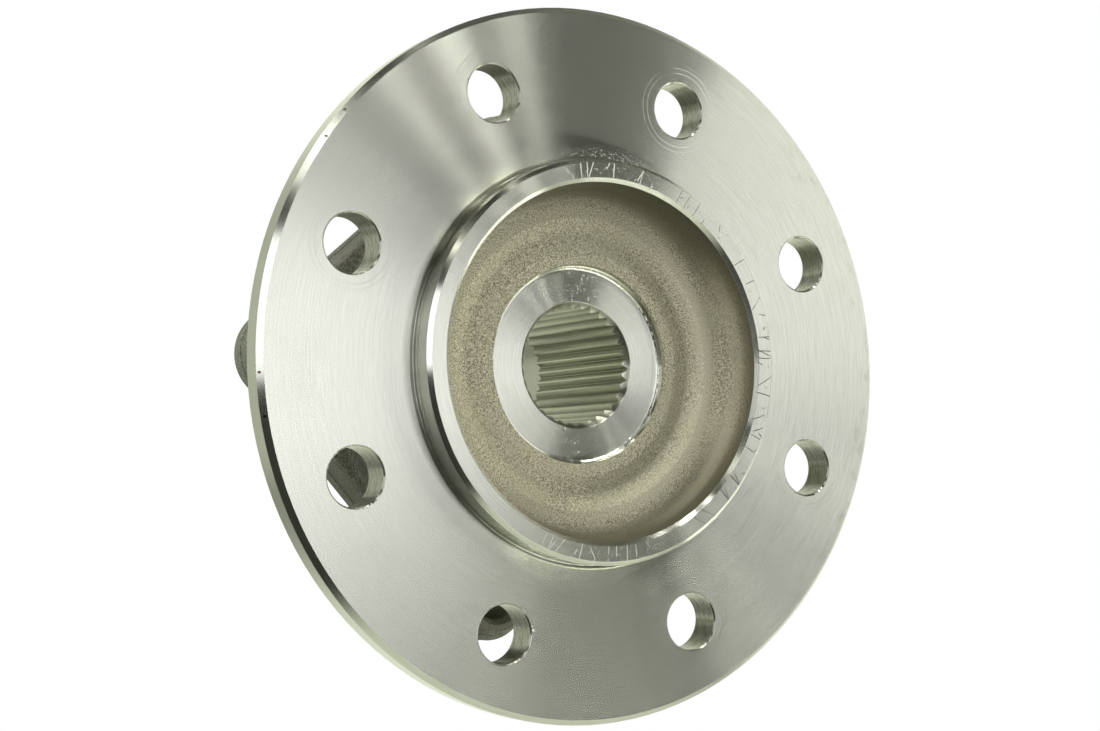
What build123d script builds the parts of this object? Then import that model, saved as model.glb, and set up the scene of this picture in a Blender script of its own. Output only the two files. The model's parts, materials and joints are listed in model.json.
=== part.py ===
from build123d import *
import os
from math import atan, cos, degrees, pi, radians, sin, tan

# Wheel hub bearing: an eight-hole hub flange with a splined bore turns in a four-eared housing on two
# rows of tapered rollers. All sizes are in millimetres.
# The origin is the centre of the flange's wheel face. +Y runs along the axis towards the vehicle,
# +X runs across and +Z is up.

os.makedirs("parts", exist_ok=True)

# Radii are set wall by wall, from the splined bore outwards. They add up to a 165.1 mm wheel bolt circle,
# a 116.6 mm pilot, a 207.8 mm flange and a 139.7 mm knuckle bolt circle.

# Splined bore
spline_pitch_d = 34.925
spline_module = 25.4 / 24
spline_tooth_height = 0.5125
spline_root_depth = 0.6875
spline_flank_angle = 45.0
spline_tooth_angle = 2.2
spline_cut_overlap = 0.2
spline_mouth_land = 0.65
spline_end_depth = 62.0
counterbore_land = 0.85
counterbore_mouth_chamfer = 1.0

# Machined seat of the axle nut, and the cast dish round it
spot_face_width = 9.8
spot_face_drop = 2.6
spot_wall_slope = 0.9
spot_corner_fillet = 0.8
spot_edge_rounding = 0.3
dish_trough_width = 9.5
dish_trough_rise = 1.1
dish_step_width = 3.5
dish_step_drop = 2.5
dish_step_fillet = 3.0
dish_shelf_width = 8.4
dish_shelf_depth = 6.0
dish_wall_slope = 0.8
dish_wall_fillet = 5.5

# Pilot ring and flange
pilot_height = 8.6
pilot_wall = 5.5
pilot_outer_chamfer = 1.2
pilot_inner_chamfer = 1.1
face_groove_width = 1.3
face_groove_slope = 0.26
face_groove_depth = 0.6
face_groove_rounding = 0.2
pilot_to_hole = 15.9
bolt_count = 8
bolt_hole_d = 16.7
bolt_hole_chamfer = 0.4
bolt_start_angle = 22.5
hole_to_rim = 13.0
flange_thickness = 10.2
flange_front_chamfer = 1.6
flange_back_chamfer = 2.4
flange_root_fillet = 4.0

# Spindle behind the flange
spindle_wall = 11.5
seal_land_height = 9.0
ground_edge_rounding = 0.5
hub_neck_step = 4.5
hub_neck_slope = 1.0
hub_boss_depth = 6.3
hub_boss_overhang = 0.5
hub_boss_slope = 2.0
hub_boss_rounding = 1.5
collar_height = 7.0
collar_width = 6.0
collar_rounding = 1.25

# Bearing rows
rollers_per_row = 20
roller_mean_r = 4.6
roller_length = 17.0
roller_axis_angle = 12.0
roller_edge_chamfer = 0.4
race_clearance = 0.12
cone_wall = 4.9
cone_edge_chamfer = 1.2
cone_rib_width = 5.5
small_rib_height = 0.9
rib_clearance = 0.2
cup_wall = 5.9
cup_edge_chamfer = 1.0
cup_overhang = 1.1
roller_to_middle = 2.5

# Cages
cage_thickness = 1.2
cage_offset = 0.9
cage_small_end = 1.6
cage_large_end = 2.0
cage_lip_depth = 2.4
pocket_clearance = 0.25

# Seals
seal_width = 7.0
seal_to_cone = 0.5
seal_inset = 1.5
seal_sheet = 1.2
sheet_inner_bend = 0.4
sheet_outer_bend = 0.6
slinger_sheet = 1.0
slinger_tip_clearance = 0.7
lip_clearance = 0.2
lip_body_height = 2.6
lip_body_width = 1.8
lip_tip_width = 0.5

# Housing
housing_gap = 2.5
housing_end_chamfer = 1.0
barrel_wall = 7.0
barrel_root_fillet = 2.2
cup_shoulder_height = 4.0
knuckle_pilot_wall = 4.0
knuckle_face_depth = 70.0
knuckle_bolt_count = 4
knuckle_bolt_hole_d = 13.8
knuckle_bolt_front_chamfer = 1.4
knuckle_bolt_back_chamfer = 0.8
knuckle_bolt_angle = -4.8
barrel_to_hole = 5.45
ear_wall = 7.1
ear_blend_r = 20.0
ear_boss_wall = 4.9
ear_boss_height = 5.0
ear_boss_draft = 8.0
ear_boss_rounding = 1.0
plate_side_inset = 1.4
plate_lip_thickness = 5.5
plate_body_thickness = 9.5
plate_lip_step = 0.3
plate_draft = 2.0
plate_front_fillet = 1.3
plate_back_chamfer = 0.8

# Seats that are pressed together keep this small gap in the model
seat_gap = 0.02
# Cutting shapes run this far past the faces that they open
cut_overlap = 1.0

# Radii of the splined bore and of the dish, outwards to the flange's rim
spline_teeth = round(spline_pitch_d / spline_module)
spline_pitch_r = spline_pitch_d / 2
spline_tip_r = spline_pitch_r - spline_tooth_height
spline_root_r = spline_pitch_r + spline_root_depth
spline_mouth_r = spline_root_r + spline_mouth_land
counterbore_r = spline_root_r + counterbore_land
spot_face_r = spline_mouth_r + spot_face_width
spot_edge_r = spot_face_r + spot_wall_slope
dish_trough_r = spot_edge_r + dish_trough_width
dish_shelf_r = dish_trough_r + dish_step_width
dish_wall_foot_r = dish_shelf_r + dish_shelf_width
pilot_inner_r = dish_wall_foot_r + dish_wall_slope + pilot_inner_chamfer
pilot_r = pilot_inner_r + pilot_wall
bolt_hole_r = bolt_hole_d / 2
bolt_circle_r = pilot_r + pilot_to_hole + bolt_hole_r
flange_r = bolt_circle_r + bolt_hole_r + hole_to_rim

# Radii of the spindle, the bearing rows and the housing
spindle_r = counterbore_r + spindle_wall
collar_r = spindle_r + collar_height
seal_land_r = spindle_r + seal_land_height
hub_neck_r = seal_land_r + hub_neck_step
roller_pitch_r = spindle_r + cone_wall + roller_mean_r
housing_bore_r = roller_pitch_r + roller_mean_r + cup_wall
barrel_r = housing_bore_r + barrel_wall
hub_boss_r = barrel_r + hub_boss_overhang
knuckle_pilot_r = housing_bore_r + knuckle_pilot_wall
knuckle_bolt_hole_r = knuckle_bolt_hole_d / 2
knuckle_bolt_circle_r = barrel_r + barrel_to_hole + knuckle_bolt_hole_r
ear_r = knuckle_bolt_hole_r + ear_wall
ear_boss_r = knuckle_bolt_hole_r + ear_boss_wall
plate_side = 2 * (knuckle_bolt_circle_r * cos(radians(45)) + ear_r - plate_side_inset)

# Depths of the dish behind the wheel face
dish_trough_depth = dish_shelf_depth + dish_step_drop
spot_edge_depth = dish_trough_depth - dish_trough_rise
spot_face_depth = spot_edge_depth + spot_face_drop

# Places along the axis
boss_y = flange_thickness + hub_boss_depth
housing_front_y = boss_y + housing_gap
seal_front_y = housing_front_y + seal_inset
seal_end_y = seal_front_y + seal_width
cone_front_y = seal_end_y + seal_to_cone
outboard_row_y = cone_front_y + cone_rib_width + roller_length / 2
middle_y = outboard_row_y + roller_length / 2 + roller_to_middle
inboard_row_y = 2 * middle_y - outboard_row_y
cup_half_width = roller_length / 2 + cup_overhang
cone_back_y = 2 * middle_y - seal_front_y + seal_to_cone
collar_end_y = cone_back_y + collar_width
housing_back_y = 2 * middle_y - housing_front_y
lip_front_y = knuckle_face_depth - plate_lip_thickness
plate_front_y = lip_front_y - plate_body_thickness

# Tapered roller geometry: the roller axis, the cup race and the cone race meet at one point on the axis
axis_angle = radians(roller_axis_angle)
roller_half_angle = atan(roller_mean_r * sin(axis_angle) / roller_pitch_r)
roller_large_r = roller_mean_r + roller_length / 2 * tan(roller_half_angle)
roller_small_r = roller_mean_r - roller_length / 2 * tan(roller_half_angle)
apex_distance = roller_pitch_r / tan(axis_angle)

# Each row: its name, the y of its roller centres and the side its large ends face
ROWS = [("outboard", outboard_row_y, -1), ("inboard", inboard_row_y, 1)]


def section(corners):
    """A closed outline from (radius, y, corner rounding), to be turned about the Y axis."""
    with BuildSketch(Plane.XY) as outline:
        with BuildLine():
            FilletPolyline(
                [(r, y) for r, y, rounding in corners],
                radius=[rounding for r, y, rounding in corners],
                close=True,
            )
        make_face()
    return outline.sketch


def plate_outline(inset):
    """The housing plate seen from the wheel: a square with a round ear at each corner, drawn in by inset."""
    side = plate_side - 2 * inset
    with BuildSketch() as outline:
        RectangleRounded(side, side, ear_r, rotation=knuckle_bolt_angle + 45)
        with PolarLocations(knuckle_bolt_circle_r, knuckle_bolt_count, start_angle=knuckle_bolt_angle):
            Circle(ear_r - inset)
        fillet(outline.vertices(), ear_blend_r)
    return outline.sketch


def save(piece, name):
    """Label a finished piece and write its file."""
    piece.part.label = name
    export_step(piece.part, f"parts/{name}.step")


def cup_race_r(row_y, side, y):
    """Radius of the cup's raceway at y."""
    apex_y = row_y - side * apex_distance
    angle = axis_angle + roller_half_angle
    return abs(y - apex_y) * tan(angle) + race_clearance / cos(angle)


def cone_race_r(row_y, side, y):
    """Radius of the cone's raceway at y."""
    apex_y = row_y - side * apex_distance
    angle = axis_angle - roller_half_angle
    return abs(y - apex_y) * tan(angle) - race_clearance / cos(angle)


def row_point(row_y, side, along, out):
    """Radius and y of a point given along the roller axis, towards the large end, and outwards from it."""
    r = roller_pitch_r + along * sin(axis_angle) + out * cos(axis_angle)
    y = row_y + side * (along * cos(axis_angle) - out * sin(axis_angle))
    return r, y


def roller_plane(row_y, side, index):
    """The plane at a roller's centre, square to its axis and facing the large end."""
    turn = 2 * pi * index / rollers_per_row
    outward = Vector(cos(turn), 0, sin(turn))
    centre = outward * roller_pitch_r + Vector(0, row_y, 0)
    along = outward * sin(axis_angle) + Vector(0, side * cos(axis_angle), 0)
    return Plane(origin=centre, x_dir=Vector(-sin(turn), 0, cos(turn)), z_dir=along)


# Hub flange and spindle, one forging
mouth_depth = spline_mouth_r - spline_tip_r
land_root_y = housing_front_y + seal_inset / 2
groove_r = pilot_r + face_groove_width
space_half_angle = degrees(pi / spline_teeth)
with BuildPart() as hub:
    revolve(
        section(
            [
                (spline_mouth_r, spot_face_depth, 0),
                (spline_tip_r, spot_face_depth + mouth_depth, 0),
                (spline_tip_r, spline_end_depth, 0),
                (counterbore_r, spline_end_depth, 0),
                (counterbore_r, collar_end_y - counterbore_mouth_chamfer, 0),
                (counterbore_r + counterbore_mouth_chamfer, collar_end_y, 0),
                (collar_r - collar_rounding, collar_end_y, collar_rounding),
                (collar_r, collar_end_y - collar_rounding, collar_rounding),
                (collar_r, cone_back_y, 0),
                (spindle_r, cone_back_y, 0),
                (spindle_r, cone_front_y, 0),
                (seal_land_r, cone_front_y, ground_edge_rounding),
                (seal_land_r, land_root_y, 0.4 * seal_inset),
                (hub_neck_r, land_root_y - hub_neck_slope, 0),
                (hub_boss_r, boss_y, hub_boss_rounding),
                (hub_boss_r + hub_boss_slope, flange_thickness, flange_root_fillet),
                (flange_r - flange_back_chamfer, flange_thickness, 0),
                (flange_r, flange_thickness - flange_back_chamfer, 0),
                (flange_r, flange_front_chamfer, 0),
                (flange_r - flange_front_chamfer, 0, 0),
                (groove_r, 0, face_groove_rounding),
                (groove_r - face_groove_slope, face_groove_depth, face_groove_rounding),
                (pilot_r, face_groove_depth, face_groove_rounding),
                (pilot_r, pilot_outer_chamfer - pilot_height, 0),
                (pilot_r - pilot_outer_chamfer, -pilot_height, 0),
                (pilot_inner_r, -pilot_height, 0),
                (pilot_inner_r - pilot_inner_chamfer, pilot_inner_chamfer - pilot_height, 0),
                (dish_wall_foot_r, dish_shelf_depth, dish_wall_fillet),
                (dish_shelf_r, dish_shelf_depth, dish_step_fillet),
                (dish_trough_r, dish_trough_depth, dish_step_fillet),
                (spot_edge_r, spot_edge_depth, spot_edge_rounding),
                (spot_face_r, spot_face_depth, spot_corner_fillet),
            ]
        ),
        axis=Axis.Y,
    )
    with BuildSketch(Plane.XZ):
        with PolarLocations(bolt_circle_r, bolt_count, start_angle=bolt_start_angle):
            Circle(bolt_hole_r)
    extrude(amount=flange_thickness * 2, both=True, mode=Mode.SUBTRACT)
    hole_edges = hub.edges().filter_by(GeomType.CIRCLE).filter_by(lambda e: abs(e.radius - bolt_hole_r) < 0.001)
    chamfer(hole_edges, bolt_hole_chamfer)
    # The spaces between the spline's teeth narrow outwards
    space_at_pitch = pi * spline_pitch_r / spline_teeth / 2
    space_inner_r = spline_tip_r - spline_cut_overlap
    inner_half = space_at_pitch + (spline_pitch_r - space_inner_r) * tan(radians(spline_flank_angle))
    root_half = space_at_pitch - (spline_root_r - spline_pitch_r) * tan(radians(spline_flank_angle))
    with BuildSketch(Plane.XZ.offset(-spot_face_depth)):
        with PolarLocations(0, spline_teeth, start_angle=spline_tooth_angle + space_half_angle):
            Polygon(
                (space_inner_r, -inner_half),
                (spline_root_r, -root_half),
                (spline_root_r, root_half),
                (space_inner_r, inner_half),
                align=None,
            )
    extrude(amount=spot_face_depth - spline_end_depth, mode=Mode.SUBTRACT)
save(hub, "hub_flange")

# Housing: a square plate with an ear at each corner, a barrel around the bearings and a knuckle pilot
with BuildPart() as housing:
    with BuildSketch(Plane.XZ.offset(-knuckle_face_depth)):
        add(plate_outline(0))
    extrude(amount=plate_lip_thickness)
    chamfer(housing.faces().sort_by(Axis.Y)[-1].edges(), plate_back_chamfer)
    with BuildSketch(Plane.XZ.offset(-lip_front_y)):
        add(plate_outline(plate_lip_step))
    extrude(amount=plate_body_thickness, taper=plate_draft)
    fillet(housing.faces().sort_by(Axis.Y)[0].edges(), plate_front_fillet)
    with BuildSketch(Plane.XZ.offset(-plate_front_y)):
        with PolarLocations(knuckle_bolt_circle_r, knuckle_bolt_count, start_angle=knuckle_bolt_angle):
            Circle(ear_boss_r)
    extrude(amount=ear_boss_height, taper=ear_boss_draft)
    fillet(housing.faces().group_by(Axis.Y)[0].edges(), ear_boss_rounding)
    revolve(
        section(
            [
                (0, housing_front_y, 0),
                (barrel_r - housing_end_chamfer, housing_front_y, 0),
                (barrel_r, housing_front_y + housing_end_chamfer, 0),
                (barrel_r, plate_front_y, barrel_root_fillet),
                (barrel_r + 1.05 * barrel_root_fillet, plate_front_y, 0),
                (barrel_r, lip_front_y, 0),
                (knuckle_pilot_r, lip_front_y, 0),
                (knuckle_pilot_r, housing_back_y - housing_end_chamfer, 0),
                (knuckle_pilot_r - housing_end_chamfer, housing_back_y, 0),
                (0, housing_back_y, 0),
            ]
        ),
        axis=Axis.Y,
    )
    bore_mouth_r = housing_bore_r + housing_end_chamfer + cut_overlap
    shoulder_r = housing_bore_r - cup_shoulder_height
    shoulder_front_y = outboard_row_y + cup_half_width
    shoulder_back_y = inboard_row_y - cup_half_width
    revolve(
        section(
            [
                (0, housing_front_y - cut_overlap, 0),
                (bore_mouth_r, housing_front_y - cut_overlap, 0),
                (housing_bore_r, housing_front_y + housing_end_chamfer, 0),
                (housing_bore_r, shoulder_front_y, 0),
                (shoulder_r, shoulder_front_y, 0),
                (shoulder_r, shoulder_back_y, 0),
                (housing_bore_r, shoulder_back_y, 0),
                (housing_bore_r, housing_back_y - housing_end_chamfer, 0),
                (bore_mouth_r, housing_back_y + cut_overlap, 0),
                (0, housing_back_y + cut_overlap, 0),
            ]
        ),
        axis=Axis.Y,
        mode=Mode.SUBTRACT,
    )
    with BuildSketch(Plane.XZ.offset(-knuckle_face_depth)):
        with PolarLocations(knuckle_bolt_circle_r, knuckle_bolt_count, start_angle=knuckle_bolt_angle):
            Circle(knuckle_bolt_hole_r)
    extrude(amount=knuckle_face_depth - plate_front_y + ear_boss_height, mode=Mode.SUBTRACT)
    round_edges = housing.edges().filter_by(GeomType.CIRCLE)
    ear_hole_edges = round_edges.filter_by(lambda e: abs(e.radius - knuckle_bolt_hole_r) < 0.001)
    chamfer(ear_hole_edges.group_by(Axis.Y)[0], knuckle_bolt_front_chamfer)
    chamfer(ear_hole_edges.group_by(Axis.Y)[-1], knuckle_bolt_back_chamfer)
save(housing, "bearing_housing")

for row, row_y, side in ROWS:
    # Cup: the outer race, pressed into the housing against its inner shoulder
    cup_r = housing_bore_r - seat_gap
    small_y = row_y - side * cup_half_width
    large_y = row_y + side * cup_half_width
    with BuildPart() as cup:
        revolve(
            section(
                [
                    (cup_race_r(row_y, side, small_y), small_y, 0),
                    (cup_r - cup_edge_chamfer, small_y, 0),
                    (cup_r, small_y + side * cup_edge_chamfer, 0),
                    (cup_r, large_y - side * cup_edge_chamfer, 0),
                    (cup_r - cup_edge_chamfer, large_y, 0),
                    (cup_race_r(row_y, side, large_y), large_y, 0),
                ]
            ),
            axis=Axis.Y,
        )
    save(cup, f"{row}_cup")

    # Cone: the inner race, with a tall rib behind the rollers' large ends
    cone_r = spindle_r + seat_gap
    outer_y = cone_front_y if side < 0 else cone_back_y
    small_rib = row_point(row_y, side, -roller_length / 2 - rib_clearance, -roller_small_r)
    large_rib = row_point(row_y, side, roller_length / 2 + rib_clearance, -roller_large_r)
    small_rib_r = cone_race_r(row_y, side, small_rib[1]) + small_rib_height
    rib_rise = seal_land_r - cone_race_r(row_y, side, large_rib[1])
    with BuildPart() as cone:
        revolve(
            section(
                [
                    (cone_r, middle_y + side * cone_edge_chamfer, 0),
                    (cone_r + cone_edge_chamfer, middle_y, 0),
                    (small_rib_r, middle_y, 0),
                    (small_rib_r, small_rib[1], 0),
                    (cone_race_r(row_y, side, small_rib[1]), small_rib[1], 0),
                    (cone_race_r(row_y, side, large_rib[1]), large_rib[1], 0),
                    (seal_land_r, large_rib[1] - side * rib_rise * tan(axis_angle), 0),
                    (seal_land_r, outer_y, ground_edge_rounding),
                    (cone_r + cone_edge_chamfer, outer_y, 0),
                    (cone_r, outer_y - side * cone_edge_chamfer, 0),
                ]
            ),
            axis=Axis.Y,
        )
    save(cone, f"{row}_cone")

    # Tapered rollers, one piece each
    for index in range(rollers_per_row):
        with BuildPart(roller_plane(row_y, side, index)) as roller:
            Cone(roller_small_r, roller_large_r, roller_length)
            chamfer(roller.edges().filter_by(GeomType.CIRCLE), roller_edge_chamfer)
        save(roller, f"{row}_roller_{index + 1:02d}")

    # Cage: a pressed conical ring with one pocket around each roller
    half = roller_length / 2
    cage_top = cage_offset + cage_thickness
    lip_back = -half - cage_small_end + cage_thickness
    cage_corners = [
        (half + cage_large_end, cage_offset),
        (half + cage_large_end, cage_top),
        (-half - cage_small_end, cage_top),
        (-half - cage_small_end, -cage_lip_depth),
        (lip_back, -cage_lip_depth),
        (lip_back, cage_offset),
    ]
    pocket_length = roller_length + 2 * pocket_clearance
    with BuildPart() as cage:
        revolve(
            section([(*row_point(row_y, side, along, out), 0) for along, out in cage_corners]),
            axis=Axis.Y,
        )
        for index in range(rollers_per_row):
            with Locations(roller_plane(row_y, side, index)):
                Cone(
                    roller_small_r + pocket_clearance,
                    roller_large_r + pocket_clearance,
                    pocket_length,
                    mode=Mode.SUBTRACT,
                )
    save(cage, f"{row}_cage")

    # Seal between the housing's bore and the ground land beside the cone's large rib
    seal_inner_y = row_y + side * (outboard_row_y - seal_end_y)
    seal_outer_y = seal_inner_y + side * seal_width
    slinger_r = seal_land_r + seat_gap
    slinger_top_r = slinger_r + slinger_sheet
    slinger_tip_r = housing_bore_r - slinger_tip_clearance
    with BuildPart() as slinger:
        revolve(
            section(
                [
                    (slinger_r, seal_outer_y, 0),
                    (slinger_tip_r, seal_outer_y, 0),
                    (slinger_tip_r, seal_outer_y - side * slinger_sheet, 0),
                    (slinger_top_r, seal_outer_y - side * slinger_sheet, sheet_inner_bend),
                    (slinger_top_r, seal_inner_y, 0),
                    (slinger_r, seal_inner_y, 0),
                ]
            ),
            axis=Axis.Y,
        )
    save(slinger, f"{row}_slinger")

    # Steel case, pressed into the housing, with a wall that stands in towards the hub
    case_r = housing_bore_r - seat_gap
    case_lip_r = slinger_top_r + lip_body_height
    wall_y = seal_inner_y + side * seal_sheet
    case_outer_y = seal_outer_y - side * (slinger_sheet + slinger_tip_clearance)
    with BuildPart() as seal_case:
        revolve(
            section(
                [
                    (case_lip_r, seal_inner_y, 0),
                    (case_r, seal_inner_y, sheet_outer_bend),
                    (case_r, case_outer_y, 0),
                    (case_r - seal_sheet, case_outer_y, 0),
                    (case_r - seal_sheet, wall_y, sheet_inner_bend),
                    (case_lip_r, wall_y, 0),
                ]
            ),
            axis=Axis.Y,
        )
    save(seal_case, f"{row}_seal_case")

    # Rubber lip, bonded to the case's wall, with one lip on the slinger's sleeve and one on its disc
    body_top_r = case_lip_r + lip_body_height
    body_outer_y = wall_y + side * lip_body_width
    sleeve_lip_r = slinger_top_r + lip_clearance
    disc_lip_y = seal_outer_y - side * (slinger_sheet + lip_clearance)
    with BuildPart() as seal_lip:
        revolve(
            section(
                [
                    (body_top_r, wall_y, 0),
                    (case_lip_r, wall_y, 0),
                    (sleeve_lip_r, wall_y + side * lip_tip_width, 0),
                    (sleeve_lip_r, wall_y + side * 2 * lip_tip_width, 0),
                    (case_lip_r, body_outer_y, 0),
                    (body_top_r - lip_tip_width, body_outer_y, 0),
                    (body_top_r + 2 * lip_tip_width, disc_lip_y, 0),
                    (body_top_r + 3 * lip_tip_width, disc_lip_y, 0),
                    (body_top_r, body_outer_y, 0),
                ]
            ),
            axis=Axis.Y,
        )
    save(seal_lip, f"{row}_seal_lip")
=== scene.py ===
import json
from math import cos, pi, radians, sin, tan

import bmesh
import bpy
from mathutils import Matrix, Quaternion, Vector


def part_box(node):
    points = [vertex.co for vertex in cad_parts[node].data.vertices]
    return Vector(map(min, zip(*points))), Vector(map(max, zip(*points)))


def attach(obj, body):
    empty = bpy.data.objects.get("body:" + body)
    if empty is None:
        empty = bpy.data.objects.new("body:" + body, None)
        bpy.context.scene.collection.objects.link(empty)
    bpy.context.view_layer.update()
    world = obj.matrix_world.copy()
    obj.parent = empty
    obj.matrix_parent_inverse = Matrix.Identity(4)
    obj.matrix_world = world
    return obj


# Wheel hub bearing, seen from its wheel side and a little from its left.
# Metres, in the row's frame: the origin is the centre of the flange's wheel face, +Y points to the vehicle.

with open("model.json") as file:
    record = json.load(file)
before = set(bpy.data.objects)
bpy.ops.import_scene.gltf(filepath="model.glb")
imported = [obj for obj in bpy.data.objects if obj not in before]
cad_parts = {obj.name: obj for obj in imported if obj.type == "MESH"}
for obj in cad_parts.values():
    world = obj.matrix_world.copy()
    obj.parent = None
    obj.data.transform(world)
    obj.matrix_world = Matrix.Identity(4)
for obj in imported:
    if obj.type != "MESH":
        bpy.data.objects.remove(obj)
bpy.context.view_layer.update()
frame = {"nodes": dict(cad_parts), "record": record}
MM = 0.001

# Sizes from the frame
mounts = {mount["name"]: mount for mount in frame["record"]["mounts"]}
bolt_circle = mounts["wheel_bolt_circle"]["dims"]
bolt_circle_r = bolt_circle["pcd_mm"] * MM / 2
bolt_hole_r = bolt_circle["hole_r_mm"] * MM
bolt_step = 2 * pi / bolt_circle["count"]
bolt_start = bolt_step / 2
pilot_r = mounts["wheel_pilot"]["dims"]["r_mm"] * MM
pilot_top_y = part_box("hub_flange")[0].y
flange_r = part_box("hub_flange")[1].x
seat_y = mounts["axle_nut_seat"]["pos_m"][1]
knuckle_y = mounts["knuckle_face"]["pos_m"][1]
knuckle_holes = mounts["knuckle_bolts"]["dims"]
knuckle_circle_r = knuckle_holes["pcd_mm"] * MM / 2
knuckle_hole_r = knuckle_holes["hole_r_mm"] * MM

# Edges of the dish, the spline, the ears and the rings round the holes, which the frame doesn't state
dish_outer_r = 51.9 * MM
dish_inner_r = 29.1 * MM
dish_lip_y = -7.4 * MM
dish_hollow_r = 35.6 * MM
dish_ridge_r = 43 * MM
dish_corner_start_r = 45 * MM
dish_corner_end_r = 50 * MM
dish_wall_r = 46 * MM
dish_wall_foot_y = dish_lip_y + 8 * MM
spline_tip_r = 16.95 * MM
spline_root_r = 18.15 * MM
spline_mouth_r = 18.8 * MM
housing_bore_r = 50.6 * MM
barrel_r = 60 * MM
ear_root_r = 72 * MM
ear_front_y = 50.0 * MM
ear_turn = radians(-4.8)
inner_ring_r = 11.4 * MM
outer_ring_r = 12.9 * MM


# Material helpers

def new_material(name):
    """An empty node material."""
    material = bpy.data.materials.new(name)
    material.use_nodes = True
    material.node_tree.nodes.clear()
    return material


def add(tree, kind, inputs=None, **settings):
    """A node with its settings; inputs are values or the sockets that feed them."""
    node = tree.nodes.new(kind)
    for key, value in settings.items():
        setattr(node, key, value)
    for key, value in (inputs or {}).items():
        if isinstance(value, bpy.types.NodeSocket):
            tree.links.new(value, node.inputs[key])
        else:
            node.inputs[key].default_value = value
    return node


def calc(tree, operation, a, b=0.0, c=0.0):
    """One step of arithmetic."""
    return add(tree, "ShaderNodeMath", {0: a, 1: b, 2: c}, operation=operation).outputs[0]


def both(tree, *masks):
    """1 where every mask is 1."""
    joined = masks[0]
    for mask in masks[1:]:
        joined = calc(tree, "MULTIPLY", joined, mask)
    return joined


def either(tree, *masks):
    """The largest of the masks."""
    joined = masks[0]
    for mask in masks[1:]:
        joined = calc(tree, "MAXIMUM", joined, mask)
    return joined


def below(tree, value, limit):
    return calc(tree, "LESS_THAN", value, limit)


def above(tree, value, limit):
    return calc(tree, "GREATER_THAN", value, limit)


def ramp(tree, value, low, high, start=0.0, end=1.0):
    """start below low, end above high and a smooth change between."""
    inputs = {"Value": value, "From Min": low, "From Max": high, "To Min": start, "To Max": end}
    return add(tree, "ShaderNodeMapRange", inputs, interpolation_type="SMOOTHSTEP").outputs["Result"]


def band(tree, value, middle, half, soft):
    """1 within half of middle, falling to 0 over soft."""
    away = calc(tree, "ABSOLUTE", calc(tree, "SUBTRACT", value, middle))
    return ramp(tree, away, half, half + soft, 1.0, 0.0)


def blend(tree, factor, low, high):
    """The colour low where factor is 0 and high where it is 1."""
    return add(tree, "ShaderNodeMix", {0: factor, 6: low, 7: high}, data_type="RGBA").outputs[2]


def turn_to(tree, factor, low, high):
    """The direction low where factor is 0 and high where it is 1."""
    return add(tree, "ShaderNodeMix", {0: factor, 4: low, 5: high}, data_type="VECTOR").outputs[1]


def vector(tree, operation, a, b=(0, 0, 0), scale=1.0):
    """One step of vector arithmetic."""
    inputs = {0: a, 1: b, 3: scale}
    return add(tree, "ShaderNodeVectorMath", inputs, operation=operation).outputs[0]


def length(tree, a):
    return add(tree, "ShaderNodeVectorMath", {0: a}, operation="LENGTH").outputs["Value"]


def along(tree, a, b):
    """The dot product of two directions."""
    return add(tree, "ShaderNodeVectorMath", {0: a, 1: b}, operation="DOT_PRODUCT").outputs["Value"]


def combine(tree, x=0.0, y=0.0, z=0.0):
    return add(tree, "ShaderNodeCombineXYZ", {0: x, 1: y, 2: z}).outputs[0]


def to_world(tree, direction):
    """A direction on the piece as it stands in the posed model."""
    node = add(tree, "ShaderNodeVectorTransform", {0: direction}, convert_from="OBJECT", convert_to="WORLD")
    return node.outputs[0]


def noise(tree, place, scale, detail=2.0, roughness=0.5):
    """Soft noise between 0 and 1."""
    inputs = {"Vector": place, "Scale": scale, "Detail": detail, "Roughness": roughness}
    return add(tree, "ShaderNodeTexNoise", inputs).outputs["Fac"]


def chance(tree, number, seed):
    """A random value between 0 and 1 that belongs to a whole number."""
    inputs = {"W": calc(tree, "ADD", number, seed)}
    return add(tree, "ShaderNodeTexWhiteNoise", inputs, noise_dimensions="1D").outputs[0]


def bump(tree, height, strength, distance):
    """A normal raised by height."""
    inputs = {"Height": height, "Strength": strength, "Distance": distance}
    return add(tree, "ShaderNodeBump", inputs).outputs["Normal"]


def object_place(tree):
    """The point in the row's frame, with the piece at rest."""
    return add(tree, "ShaderNodeTexCoord").outputs["Object"]


def principled(tree, **inputs):
    """A Principled shader; an underscore in a name stands for a space."""
    named = {key.replace("_", " "): value for key, value in inputs.items()}
    return add(tree, "ShaderNodeBsdfPrincipled", named).outputs[0]


def mix_shaders(tree, factor, low, high):
    """The shader low where factor is 0 and high where it is 1."""
    return add(tree, "ShaderNodeMixShader", {0: factor, 1: low, 2: high}).outputs[0]


def show(tree, shader):
    add(tree, "ShaderNodeOutputMaterial", {"Surface": shader})


def axis_sizes(tree, place):
    """The point's offset from the hub's axis, its distance from it and its depth behind the wheel face."""
    flat = vector(tree, "MULTIPLY", place, (1, 0, 1))
    depth = add(tree, "ShaderNodeSeparateXYZ", {0: place}).outputs["Y"]
    return flat, length(tree, flat), depth


def nearest_hole(tree, flat, circle_r, step, start):
    """The point's offset from the nearest hole of a bolt circle, its turn and the hole's number."""
    axes = add(tree, "ShaderNodeSeparateXYZ", {0: flat})
    turn = calc(tree, "ARCTAN2", axes.outputs["Z"], axes.outputs["X"])
    index = calc(tree, "ROUND", calc(tree, "DIVIDE", calc(tree, "SUBTRACT", turn, start), step))
    hole_turn = calc(tree, "MULTIPLY_ADD", index, step, start)
    x = calc(tree, "MULTIPLY", calc(tree, "COSINE", hole_turn), circle_r)
    z = calc(tree, "MULTIPLY", calc(tree, "SINE", hole_turn), circle_r)
    return vector(tree, "SUBTRACT", flat, combine(tree, x, 0.0, z)), turn, index


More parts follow.
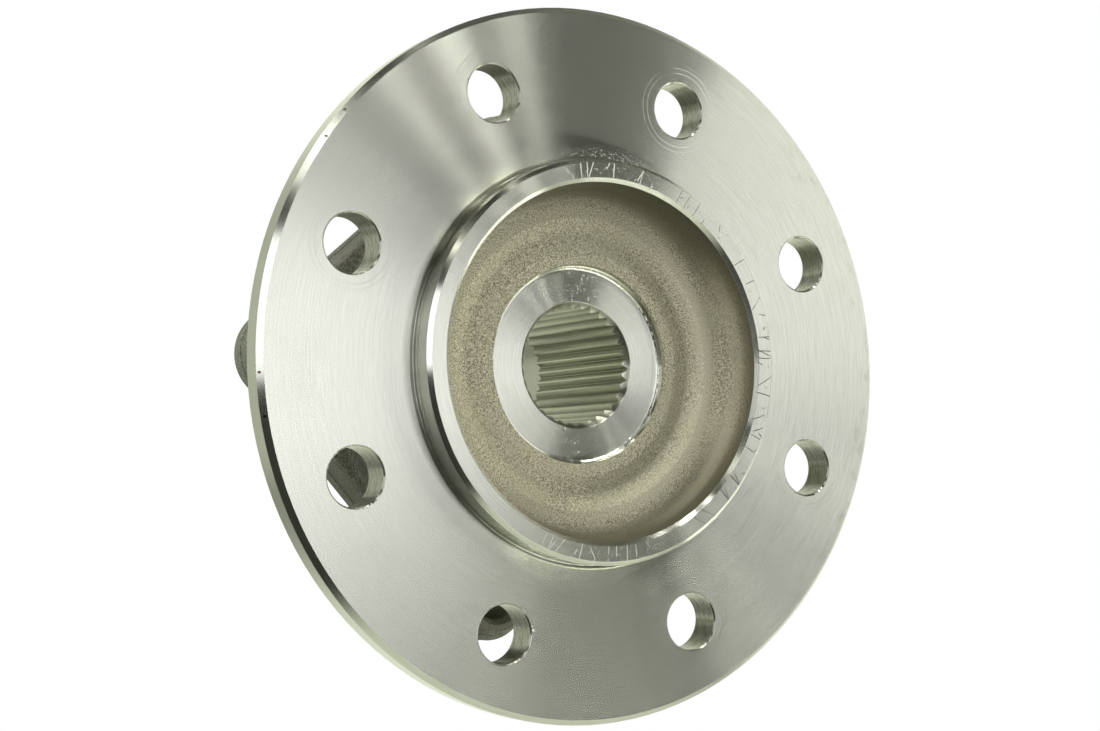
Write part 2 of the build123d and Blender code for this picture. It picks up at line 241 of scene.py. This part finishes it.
def scratches(tree, turn, radius, spacing, slant, width, share, seed):
    """Straight scratches across a ring, spacing apart and slanted from the radius, some of them missing."""
    arc = calc(tree, "MULTIPLY", turn, pilot_r)
    rows = calc(tree, "DIVIDE", calc(tree, "MULTIPLY_ADD", radius, slant, arc), spacing)
    index = calc(tree, "FLOOR", rows)
    shift = calc(tree, "MULTIPLY_ADD", chance(tree, index, seed), 0.7, 0.15)
    away = calc(tree, "ABSOLUTE", calc(tree, "SUBTRACT", calc(tree, "FRACT", rows), shift))
    line = ramp(tree, away, 0.3 * width / spacing, width / spacing, 1.0, 0.0)
    return both(tree, line, below(tree, chance(tree, index, seed + 50.5), share))


def streaks(tree, flat, radius, around, across):
    """Noise drawn out along a turning tool's path."""
    outward = vector(tree, "SCALE", vector(tree, "NORMALIZE", flat), scale=around)
    rings = combine(tree, 0.0, calc(tree, "MULTIPLY", radius, across), 0.0)
    return noise(tree, vector(tree, "ADD", outward, rings), 1.0, 3, 0.6)


def spots(tree, flat, places, size):
    """1 within size of each of some places, given as x and z in millimetres."""
    masks = []
    for x, z in places:
        distance = length(tree, vector(tree, "SUBTRACT", flat, (x * MM, 0, z * MM)))
        masks.append(ramp(tree, distance, 0.5 * size, size, 1.0, 0.0))
    return either(tree, *masks)


# Materials

TURNED_LIGHT = (0.79, 0.80, 0.71, 1)
TURNED_DARK = (0.70, 0.715, 0.62, 1)
GROUND_LIGHT = (0.74, 0.755, 0.67, 1)
GROUND_DARK = (0.62, 0.635, 0.55, 1)
SMUDGE_GREY = (0.60, 0.59, 0.50, 1)
SCRATCH_DARK = (0.16, 0.15, 0.12, 1)
HANDLED_BROWN = (0.30, 0.28, 0.20, 1)
NICK_BROWN = (0.13, 0.10, 0.07, 1)
DRILLED_DARK = (0.36, 0.36, 0.28, 1)
SPLINE_OLIVE = (0.86, 0.87, 0.75, 1)
# Painted shade in the spline's grooves
SPLINE_GROOVE_SHADE = (0.26, 0.26, 0.19, 1)
# Painted shade on the pilot's wall
WALL_PAINTED_SHADE = (0.26, 0.26, 0.20, 1)
DISH_DARK = (0.16, 0.145, 0.086, 1)
DISH_LIGHT = (0.66, 0.635, 0.45, 1)
DISH_PINK = (0.47, 0.41, 0.285, 1)
DISH_GREEN = (0.38, 0.39, 0.26, 1)
# Painted shade and painted highlight on the dish
DISH_PAINTED_SHADE = (0.12, 0.115, 0.07, 1)
DISH_PAINTED_LIGHT = (0.80, 0.76, 0.56, 1)
IRON_DARK = (0.13, 0.13, 0.095, 1)
IRON_LIGHT = (0.55, 0.56, 0.44, 1)
IRON_TINT = (0.33, 0.33, 0.235, 1)
# Painted shade on the housing
IRON_PAINTED_SHADE = (0.07, 0.07, 0.045, 1)
MACHINED_DARK = (0.5, 0.5, 0.44, 1)
MACHINED_LIGHT = (0.68, 0.68, 0.61, 1)
RUBBER_DARK = (0.012, 0.012, 0.012, 1)
RUBBER_LIGHT = (0.035, 0.034, 0.032, 1)
WHITE = (1, 1, 1, 1)
TURNED_ROUGHNESS = 0.245
CAST_METALLIC = 0.15

# Nicks in the face and in the rim, as x and z in millimetres
FACE_NICKS = ((-23.1, -74.7), (-24.0, -73.2), (-22.4, -75.6))
RIM_NICKS = ((-103.2, -3.6), (-101.9, -15.2), (-83.3, 60.3), (-77.5, 68.1))


def cast_surface(tree, place, dark, light, tints):
    """The colour and the grain of a blasted casting, with patches of other tints."""
    fine = noise(tree, place, 2500, 1.5, 0.6)
    coarse = noise(tree, place, 1100, 2, 0.6)
    grain = calc(tree, "MULTIPLY_ADD", fine, 0.92, calc(tree, "MULTIPLY", coarse, 0.08))
    colour = blend(tree, ramp(tree, grain, 0.35, 0.65), dark, light)
    for number, tint in enumerate(tints):
        patch = noise(tree, vector(tree, "ADD", place, (0.3 * number, 0, 0)), 75, 3, 0.6)
        colour = blend(tree, ramp(tree, patch, 0.45, 0.75, 0, 0.45), colour, tint)
    return colour, grain


def cast_shader(tree, colour, grain):
    """The rough shader of a casting."""
    return principled(
        tree,
        Base_Color=colour,
        Metallic=CAST_METALLIC,
        Roughness=0.6,
        Normal=bump(tree, grain, 0.45, 0.13 * MM),
    )


def dish_shader(tree, place, spoke, radius, depth):
    """The cast dish, with painted light and shade that show most on the right: a painted highlight on its
    ridge and at its wall's foot, and painted shade in its hollow, in the corner by the pilot ring and down
    its wall.
    """
    colour, grain = cast_surface(tree, place, DISH_DARK, DISH_LIGHT, (DISH_PINK, DISH_GREEN))
    to_right = along(tree, spoke, (0.96, 0, -0.28))
    to_top = along(tree, spoke, (0, 0, 1))
    right_side = ramp(tree, to_right, -0.95, -0.5, 0.3, 1.0)
    above_or_below = ramp(tree, calc(tree, "ABSOLUTE", to_top), 0.25, 0.75)

    # Painted highlight on the ridge, strongest on the right
    ridge_light = band(tree, radius, dish_ridge_r, 1.2 * MM, 3 * MM)
    ridge_light = both(tree, ridge_light, ramp(tree, to_right, 0.0, 0.8, 0.05, 0.34))
    colour = blend(tree, ridge_light, colour, DISH_PAINTED_LIGHT)
    # Painted shade in the hollow
    hollow_shade = band(tree, radius, dish_hollow_r, 1.2 * MM, 2.6 * MM)
    hollow_shade = both(tree, hollow_shade, ramp(tree, to_right, -0.2, 0.8, 0.08, 0.42))
    colour = blend(tree, hollow_shade, colour, DISH_PAINTED_SHADE)
    # Painted shade in the corner by the pilot ring, on the right, above and below
    corner_shade = ramp(tree, radius, dish_corner_start_r, dish_corner_end_r, 0.0, 0.85)
    colour = blend(tree, both(tree, corner_shade, right_side, above_or_below), colour, DISH_PAINTED_SHADE)

    # Painted shade down the wall on the right, and a painted highlight at its foot
    wall = both(tree, above(tree, radius, dish_wall_r), right_side)
    wall_shade = ramp(tree, depth, dish_lip_y, dish_wall_foot_y, 0.85, 0.0)
    colour = blend(tree, both(tree, wall, wall_shade), colour, DISH_PAINTED_SHADE)
    wall_foot = band(tree, depth, dish_wall_foot_y, 1 * MM, 3 * MM)
    foot_glow = both(tree, wall, wall_foot, ramp(tree, to_right, 0.5, 0.95, 0.0, 0.28))
    colour = blend(tree, foot_glow, colour, DISH_PAINTED_LIGHT)
    return cast_shader(tree, colour, grain)


def hub_steel():
    """Turned steel, drilled hole walls, a broached spline and a cast dish."""
    material = new_material("hub_steel")
    tree = material.node_tree
    place = object_place(tree)
    flat, radius, depth = axis_sizes(tree, place)
    spoke = vector(tree, "NORMALIZE", flat)
    rightward = add(tree, "ShaderNodeSeparateXYZ", {0: place}).outputs["X"]
    from_hole, turn, index = nearest_hole(tree, flat, bolt_circle_r, bolt_step, bolt_start)
    hole_distance = length(tree, from_hole)

    # Which way the tool marks run
    around_hub = add(tree, "ShaderNodeTangent", direction_type="RADIAL", axis="Y").outputs[0]
    hole_spoke = vector(tree, "NORMALIZE", from_hole)
    around_hole = to_world(tree, vector(tree, "CROSS_PRODUCT", (0, 1, 0), hole_spoke))
    outwards = to_world(tree, spoke)
    in_hole = below(tree, hole_distance, bolt_hole_r + 0.5 * MM)
    in_spline = both(tree, below(tree, radius, spline_mouth_r), above(tree, depth, seat_y + 0.2 * MM))
    marks = turn_to(tree, in_hole, around_hub, around_hole)

    # Witness rings that a tool left round the holes
    ring_wobble = noise(tree, place, 90, 2)
    ring_distance = calc(tree, "MULTIPLY_ADD", ring_wobble, 0.4 * MM, hole_distance)
    rings = either(
        tree,
        band(tree, ring_distance, inner_ring_r, 0.05 * MM, 0.14 * MM),
        band(tree, ring_distance, outer_ring_r, 0.04 * MM, 0.12 * MM),
    )
    ring_parts = ramp(tree, noise(tree, vector(tree, "ADD", place, combine(tree, index)), 45, 1), 0.42, 0.6)
    on_face = both(tree, above(tree, radius, pilot_r + 2 * MM), below(tree, depth, 0.2 * MM))
    rings = both(tree, rings, ring_parts, on_face)
    marks = turn_to(tree, calc(tree, "MULTIPLY", rings, 0.18), marks, outwards)

    # Scratches across the top of the pilot ring, dark on its right side
    on_pilot = both(
        tree,
        below(tree, depth, pilot_top_y + 0.3 * MM),
        above(tree, radius, dish_outer_r),
        below(tree, radius, pilot_r),
    )
    patches = noise(tree, place, 170, 2)
    slanted = scratches(tree, turn, radius, 4.7 * MM, 0.5, 0.2 * MM, 0.6, 3)
    crossing = scratches(tree, turn, radius, 5.9 * MM, -0.7, 0.2 * MM, 0.6, 17)
    straight = scratches(tree, turn, radius, 3.7 * MM, 0.08, 0.18 * MM, 0.6, 31)
    lines = either(
        tree,
        both(tree, slanted, ramp(tree, patches, 0.52, 0.56)),
        both(tree, crossing, ramp(tree, patches, 0.44, 0.48, 1.0, 0.0)),
        both(tree, straight, ramp(tree, patches, 0.45, 0.5)),
    )
    lines = both(tree, lines, on_pilot, ramp(tree, rightward, -40 * MM, 0, 0.15, 1.0))
    marks = turn_to(tree, calc(tree, "MULTIPLY", lines, 0.9), marks, outwards)
    on_right = ramp(tree, rightward, 8 * MM, 28 * MM)
    soiled = both(tree, lines, on_right)
    pits = both(tree, on_pilot, ramp(tree, noise(tree, place, 900, 2), 0.68, 0.74), on_right)
    soiled = either(tree, soiled, calc(tree, "MULTIPLY", pits, 0.5))

    # Specks where the tool marks are rubbed away, above and below the bore and beside the pilot
    speck_size = noise(tree, place, 1900, 2)
    sideways = calc(tree, "ABSOLUTE", rightward)
    on_seat = both(tree, below(tree, radius, dish_inner_r), above(tree, depth, seat_y - 0.1 * MM))
    seat_middle = ramp(tree, sideways, 3 * MM, 10 * MM, 1.0, 0.0)
    worn = both(tree, on_seat, seat_middle, ramp(tree, noise(tree, place, 300, 2), 0.4, 0.6))
    seat_specks = both(tree, worn, ramp(tree, speck_size, 0.56, 0.66))
    top_specks = both(
        tree,
        on_pilot,
        ramp(tree, sideways, 10 * MM, 22 * MM, 1.0, 0.0),
        ramp(tree, speck_size, 0.66, 0.72),
    )
    near_pilot = both(tree, on_face, ramp(tree, radius, pilot_r + 2 * MM, pilot_r + 7 * MM, 1.0, 0.0))
    face_middle = ramp(tree, sideways, 10 * MM, 25 * MM, 0.8, 0.0)
    face_specks = both(tree, near_pilot, ramp(tree, speck_size, 0.54, 0.66), face_middle)
    nicks = both(tree, on_face, spots(tree, flat, FACE_NICKS, 0.6 * MM))
    specks = either(tree, seat_specks, top_specks, face_specks, nicks)
    marks = turn_to(tree, calc(tree, "MULTIPLY", specks, 0.8), marks, outwards)

    # Colour: fine rings, streaks along the cut, faint smudges
    fine_rings = noise(tree, combine(tree, radius, depth), 2200, 3)
    cut = streaks(tree, flat, radius, 9, 1900)
    smudge = noise(tree, place, 26, 4, 0.6)
    shade = calc(tree, "MULTIPLY_ADD", fine_rings, 0.5, calc(tree, "MULTIPLY", cut, 0.5))
    turned_colour = blend(tree, ramp(tree, shade, 0.3, 0.7), TURNED_DARK, TURNED_LIGHT)
    turned_colour = blend(tree, ramp(tree, smudge, 0.52, 0.8, 0, 0.25), turned_colour, SMUDGE_GREY)
    handled = both(
        tree,
        on_face,
        ramp(tree, radius, 90 * MM, 100 * MM),
        ramp(tree, rightward, 60 * MM, 75 * MM),
        ramp(tree, noise(tree, place, 160, 4, 0.7), 0.52, 0.66, 0, 0.2),
    )
    turned_colour = blend(tree, handled, turned_colour, HANDLED_BROWN)
    drilled = streaks(tree, from_hole, depth, 3, 2600)
    drilled_share = both(tree, in_hole, ramp(tree, drilled, 0.35, 0.65, 0.1, 0.8))
    turned_colour = blend(tree, drilled_share, turned_colour, DRILLED_DARK)
    turned_colour = blend(tree, in_spline, turned_colour, SPLINE_OLIVE)
    # Painted shade: the spline darkens towards the roots of its grooves
    groove_shade = both(tree, in_spline, ramp(tree, radius, spline_tip_r + 0.1 * MM, spline_root_r, 0.0, 0.7))
    turned_colour = blend(tree, groove_shade, turned_colour, SPLINE_GROOVE_SHADE)
    turned_colour = blend(tree, calc(tree, "MULTIPLY", soiled, 0.8), turned_colour, SCRATCH_DARK)
    grain = noise(tree, place, 2600, 2, 0.6)
    marks_height = calc(tree, "MULTIPLY_ADD", drilled, in_hole, cut)
    turned = principled(
        tree,
        Base_Color=turned_colour,
        Metallic=1.0,
        Roughness=ramp(tree, shade, 0.25, 0.75, TURNED_ROUGHNESS - 0.015, TURNED_ROUGHNESS + 0.015),
        Anisotropic=1.0,
        Anisotropic_Rotation=0.25,
        Tangent=marks,
        Normal=bump(tree, marks_height, 0.1, 0.015 * MM),
    )

    # Smoother bands: the pilot's wall, the chamfers, the rim and the step round the seat
    ground_colour = blend(tree, ramp(tree, shade, 0.3, 0.7), GROUND_DARK, GROUND_LIGHT)
    ground_colour = blend(tree, spots(tree, flat, RIM_NICKS, 0.5 * MM), ground_colour, NICK_BROWN)
    # Painted shade darkens the pilot's wall on its upper left
    to_upper_left = along(tree, spoke, (-0.62, 0, 0.79))
    pilot_wall_shade = both(tree, below(tree, radius, pilot_r + 2 * MM), above(tree, radius, dish_outer_r))
    pilot_wall_shade = both(tree, pilot_wall_shade, ramp(tree, to_upper_left, 0.86, 0.98, 0.0, 0.75))
    ground_colour = blend(tree, pilot_wall_shade, ground_colour, WALL_PAINTED_SHADE)
    ground = principled(
        tree,
        Base_Color=ground_colour,
        Metallic=1.0,
        Roughness=ramp(tree, shade, 0.25, 0.75, 0.16, 0.22),
        Anisotropic=0.6,
        Anisotropic_Rotation=0.25,
        Tangent=around_hub,
        Normal=bump(tree, grain, 0.06, 0.02 * MM),
    )
    pilot_wall = both(
        tree,
        band(tree, radius, pilot_r, 1.28 * MM, 0.1 * MM),
        above(tree, depth, pilot_top_y + 0.02 * MM),
        below(tree, depth, 2 * MM),
    )
    rim = above(tree, radius, flange_r - 1.6 * MM)
    seat_step = band(tree, radius, dish_inner_r - 0.2 * MM, 0.4 * MM, 0.05 * MM)
    smooth = either(tree, pilot_wall, rim, seat_step)
    metal = mix_shaders(tree, smooth, turned, ground)

    dish = dish_shader(tree, place, spoke, radius, depth)
    in_dish = both(
        tree,
        below(tree, radius, dish_outer_r),
        above(tree, radius, dish_inner_r),
        above(tree, depth, dish_lip_y),
        below(tree, depth, seat_y - 0.4 * MM),
    )
    show(tree, mix_shaders(tree, in_dish, metal, dish))
    return material


def housing_iron():
    """A dark casting with machined seats at the back and in the bore."""
    material = new_material("housing_iron")
    tree = material.node_tree
    place = object_place(tree)
    flat, radius, depth = axis_sizes(tree, place)
    colour, grain = cast_surface(tree, place, IRON_DARK, IRON_LIGHT, (IRON_TINT,))

    # Painted shade darkens the barrel under the flange and whatever lies low down
    colour = blend(tree, ramp(tree, radius, barrel_r, ear_root_r, 0.55, 0.0), colour, IRON_PAINTED_SHADE)
    height = add(tree, "ShaderNodeSeparateXYZ", {0: place}).outputs["Z"]
    colour = blend(tree, ramp(tree, height, -66 * MM, -46 * MM, 0.6, 0.0), colour, IRON_PAINTED_SHADE)
    cast = cast_shader(tree, colour, grain)

    cut = streaks(tree, flat, radius, 9, 900)
    machined = principled(
        tree,
        Base_Color=blend(tree, cut, MACHINED_DARK, MACHINED_LIGHT),
        Metallic=1.0,
        Roughness=ramp(tree, cut, 0.3, 0.7, 0.34, 0.42),
        Anisotropic=0.8,
        Anisotropic_Rotation=0.25,
        Tangent=to_world(tree, vector(tree, "CROSS_PRODUCT", (0, 1, 0), flat)),
        Normal=bump(tree, cut, 0.2, 0.03 * MM),
    )
    at_back = above(tree, depth, knuckle_y - 0.05 * MM)
    in_bore = below(tree, radius, housing_bore_r)
    show(tree, mix_shaders(tree, either(tree, at_back, in_bore), cast, machined))
    return material


def plain_steel(name, dark, light, roughness, grain_scale):
    """Ground or pressed steel with a fine grain."""
    material = new_material(name)
    tree = material.node_tree
    grain = noise(tree, object_place(tree), grain_scale, 3)
    shader = principled(
        tree,
        Base_Color=blend(tree, grain, dark, light),
        Metallic=1.0,
        Roughness=ramp(tree, grain, 0.2, 0.8, roughness, roughness + 0.1),
        Normal=bump(tree, grain, 0.08, 0.1 * MM),
    )
    show(tree, shader)
    return material


def rubber():
    """Matt black rubber."""
    material = new_material("seal_rubber")
    tree = material.node_tree
    grain = noise(tree, object_place(tree), 1800, 3)
    shader = principled(
        tree,
        Base_Color=blend(tree, grain, RUBBER_DARK, RUBBER_LIGHT),
        Roughness=ramp(tree, grain, 0.2, 0.8, 0.5, 0.65),
        Normal=bump(tree, grain, 0.15, 0.2 * MM),
    )
    show(tree, shader)
    return material


slot_materials = {
    "hub_steel": hub_steel(),
    "housing_iron": housing_iron(),
    "race_steel": plain_steel("race_steel", (0.5, 0.5, 0.48, 1), (0.66, 0.66, 0.64, 1), 0.2, 900),
    "roller_steel": plain_steel("roller_steel", (0.62, 0.62, 0.61, 1), (0.72, 0.72, 0.71, 1), 0.12, 900),
    "cage_steel": plain_steel("cage_steel", (0.3, 0.3, 0.28, 1), (0.44, 0.44, 0.42, 1), 0.35, 700),
    "seal_steel": plain_steel("seal_steel", (0.42, 0.42, 0.4, 1), (0.56, 0.56, 0.54, 1), 0.3, 700),
    "seal_rubber": rubber(),
}
node_slots = {part["node"]: part["material_slot"] for part in frame["record"]["subparts"]}
for name, node in frame["nodes"].items():
    node.data.materials.clear()
    node.data.materials.append(slot_materials[node_slots[name]])


# Threads in the ears

thread_pitch = 1.75 * MM
thread_height = 0.75 * MM
thread_sink = 0.05 * MM
thread_half_width = 0.48 * thread_pitch
thread_start_y = ear_front_y + 1.5 * MM
thread_end_y = knuckle_y - 0.9 * MM
steps_per_turn = 40
thread_steel = plain_steel("thread_steel", (0.3, 0.3, 0.25, 1), (0.5, 0.5, 0.43, 1), 0.3, 900)


def ear_thread(name, x, z):
    """A V-shaped ridge wound along the wall of an ear's hole."""
    run = thread_end_y - thread_start_y - thread_pitch
    steps = int(run / thread_pitch * steps_per_turn)
    root_r = knuckle_hole_r + thread_sink
    crest_r = knuckle_hole_r - thread_height
    mesh = bpy.data.meshes.new(name)
    form = bmesh.new()
    rows = []
    for step in range(steps + 1):
        turn = 2 * pi * step / steps_per_turn
        y = thread_start_y + thread_pitch * (step / steps_per_turn + 0.5)
        corners = ((root_r, -thread_half_width), (crest_r, 0.0), (root_r, thread_half_width))
        places = [(x + r * cos(turn), y + shift, z + r * sin(turn)) for r, shift in corners]
        rows.append([form.verts.new(place) for place in places])
    for near, far in zip(rows, rows[1:]):
        for side in range(3):
            other = (side + 1) % 3
            form.faces.new((near[side], far[side], far[other], near[other]))
    form.faces.new(rows[0])
    form.faces.new(reversed(rows[-1]))
    bmesh.ops.recalc_face_normals(form, faces=form.faces)
    form.to_mesh(mesh)
    form.free()
    mesh.materials.append(thread_steel)
    piece = bpy.data.objects.new(name, mesh)
    bpy.context.scene.collection.objects.link(piece)
    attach(piece, "housing")


for number in range(4):
    hole_turn = ear_turn + number * pi / 2
    hole_x = knuckle_circle_r * cos(hole_turn)
    hole_z = knuckle_circle_r * sin(hole_turn)
    ear_thread(f"ear_thread_{number + 1}", hole_x, hole_z)


# Studio

LAMP_DISTANCE = 4.0
NEUTRAL = (1.0, 1.0, 1.05)
WARM = (1.0, 1.0, 0.95)


def softbox(name, azimuth, elevation, half_width, half_height, roll, radiance, colour=WARM, mirrored=True):
    """A rectangular lamp that faces the hub. Angles are in degrees as seen from the hub: azimuth 0 is in
    front of the wheel face and grows to the right, and half_width and half_height are half angles. A lamp
    that isn't mirrored lights matt surfaces only."""
    lamp = bpy.data.lights.new(name, "AREA")
    lamp.shape = "RECTANGLE"
    lamp.size = 2 * LAMP_DISTANCE * tan(radians(half_width))
    lamp.size_y = 2 * LAMP_DISTANCE * tan(radians(half_height))
    lamp.energy = radiance * pi * lamp.size * lamp.size_y
    lamp.color = colour
    box = bpy.data.objects.new(name, lamp)
    bpy.context.scene.collection.objects.link(box)
    turn, rise = radians(azimuth), radians(elevation)
    towards = Vector((sin(turn) * cos(rise), -cos(turn) * cos(rise), sin(rise)))
    box.location = LAMP_DISTANCE * towards
    facing = towards.to_track_quat("Z", "Y") @ Quaternion((0, 0, 1), radians(roll))
    box.rotation_euler = facing.to_euler()
    box.visible_camera = False
    box.visible_glossy = mirrored


softbox("left_softbox", 3.6, 2.2, 23.8, 13.0, -5.4, 1.63, NEUTRAL)
softbox("top_strip", 29.0, 46.8, 1.3, 13.6, -0.9, 11.39)
softbox("top_left_softbox", -65.3, 47.3, 2.7, 21.8, -72.7, 1.87)
softbox("right_softbox", 61.1, 11.7, 16.2, 18.1, 38.1, 1.74)
softbox("low_softbox", 29.2, -45.2, 6.5, 26.5, -68.1, 0.99)
softbox("upper_softbox", -7.7, 34.2, 2.6, 3.3, 33.9, 4.39)
softbox("high_left_strip", -81.3, 63.5, 2.1, 17.8, 43.1, 4.72)
softbox("low_strip", 33.1, -39.2, 2.5, 14.7, -83.7, 10.25)
softbox("high_strip", 13.3, 55.3, 1.5, 25.1, 14.6, 13.18)
softbox("upper_strip", 1.0, 45.9, 1.0, 19.0, 31.7, 11.87)
softbox("low_right_softbox", 74.5, -19.6, 12.6, 12.3, 75.0, 4.75)
softbox("left_edge_panel", -65.0, 15.4, 7.2, 16.2, 1.2, 2.23, NEUTRAL)
softbox("left_fill", -60.0, 12.0, 18.0, 16.0, 0.0, 2.6, NEUTRAL, mirrored=False)

# The room: white behind the object, a pale wall on the left, dim behind elsewhere and almost dark on the
# camera's side. Metal also mirrors a pale table below. The camera itself sees white all round
BACKDROP = (0.53, 0.85, 0.0)
SIDE_WALL = (-0.52, 0.84, 0.12)
TABLE = (0.25, -0.1, -0.96)
TABLE_GREY = 0.75
ROOM_DIM = 0.22
ROOM_OLIVE = (0.96, 1.0, 0.84, 1)
SIDE_WALL_GREY = 0.55
FRONT_DARK = 0.045
world = bpy.data.worlds.new("studio")
bpy.context.scene.world = world
world.use_nodes = True
sky = world.node_tree
sky.nodes.clear()
direction = add(sky, "ShaderNodeTexCoord").outputs["Generated"]
backwards = add(sky, "ShaderNodeSeparateXYZ", {0: direction}).outputs["Y"]
rays = add(sky, "ShaderNodeLightPath").outputs
seen = rays["Is Camera Ray"]
table = ramp(sky, along(sky, direction, TABLE), 0.6, 0.8, 0.0, TABLE_GREY)
room = either(
    sky,
    ramp(sky, backwards, 0.0, 0.25, FRONT_DARK, ROOM_DIM),
    ramp(sky, along(sky, direction, SIDE_WALL), 0.86, 0.95, 0.0, SIDE_WALL_GREY),
    ramp(sky, along(sky, direction, BACKDROP), 0.6, 0.8),
    both(sky, table, rays["Is Glossy Ray"]),
)
tint = blend(sky, seen, ROOM_OLIVE, WHITE)
backdrop = add(sky, "ShaderNodeBackground", {"Color": tint, "Strength": either(sky, room, seen)})
add(sky, "ShaderNodeOutputWorld", {"Surface": backdrop.outputs[0]})


# Floor

FLOOR_Z = -0.45
FLOOR_R = 2.4
FLOOR_EDGES = 96
PAINT_DARK = (0.34, 0.34, 0.33, 1)
PAINT_LIGHT = (0.38, 0.38, 0.37, 1)


def floor_paint():
    """Pale matt paint that takes the object's shadow and turns white far from it, as the room is."""
    material = new_material("floor_paint")
    tree = material.node_tree
    place = object_place(tree)
    far = ramp(tree, length(tree, place), 0.5, 1.3)
    speckle = noise(tree, place, 40, 3)
    colour = blend(tree, speckle, PAINT_DARK, PAINT_LIGHT)
    paint = add(tree, "ShaderNodeBsdfDiffuse", {"Color": colour})
    near_glow = add(tree, "ShaderNodeEmission", {"Color": WHITE, "Strength": 0.6})
    white = add(tree, "ShaderNodeEmission", {"Color": WHITE, "Strength": 1.0})
    near = add(tree, "ShaderNodeAddShader", {0: paint.outputs[0], 1: near_glow.outputs[0]})
    show(tree, mix_shaders(tree, far, near.outputs[0], white.outputs[0]))
    return material


floor_mesh = bpy.data.meshes.new("floor")
edge_turns = [2 * pi * number / FLOOR_EDGES for number in range(FLOOR_EDGES)]
edge = [(FLOOR_R * cos(turn), FLOOR_R * sin(turn), 0) for turn in edge_turns]
floor_mesh.from_pydata(edge, [], [list(range(FLOOR_EDGES))])
floor_mesh.materials.append(floor_paint())
floor = bpy.data.objects.new("floor", floor_mesh)
floor.location.z = FLOOR_Z
bpy.context.scene.collection.objects.link(floor)
# The lamps below the hub shine through it, and nothing mirrors it
for ray in ("visible_diffuse", "visible_glossy", "visible_transmission", "visible_shadow"):
    setattr(floor, ray, False)

# Camera at the photograph's place
CAMERA_PLACE = (-0.29198, -0.46775, -0.03221)
CAMERA_TURN = (radians(93.293), radians(1.223), radians(-30.553))
camera = bpy.data.objects.new("camera", bpy.data.cameras.new("camera"))
bpy.context.scene.collection.objects.link(camera)
camera.location = CAMERA_PLACE
camera.rotation_euler = CAMERA_TURN
camera.data.sensor_width = 36
camera.data.lens = 62.43
camera.data.clip_start = 0.01
bpy.context.scene.camera = camera
bpy.context.scene.view_settings.view_transform = "Standard"
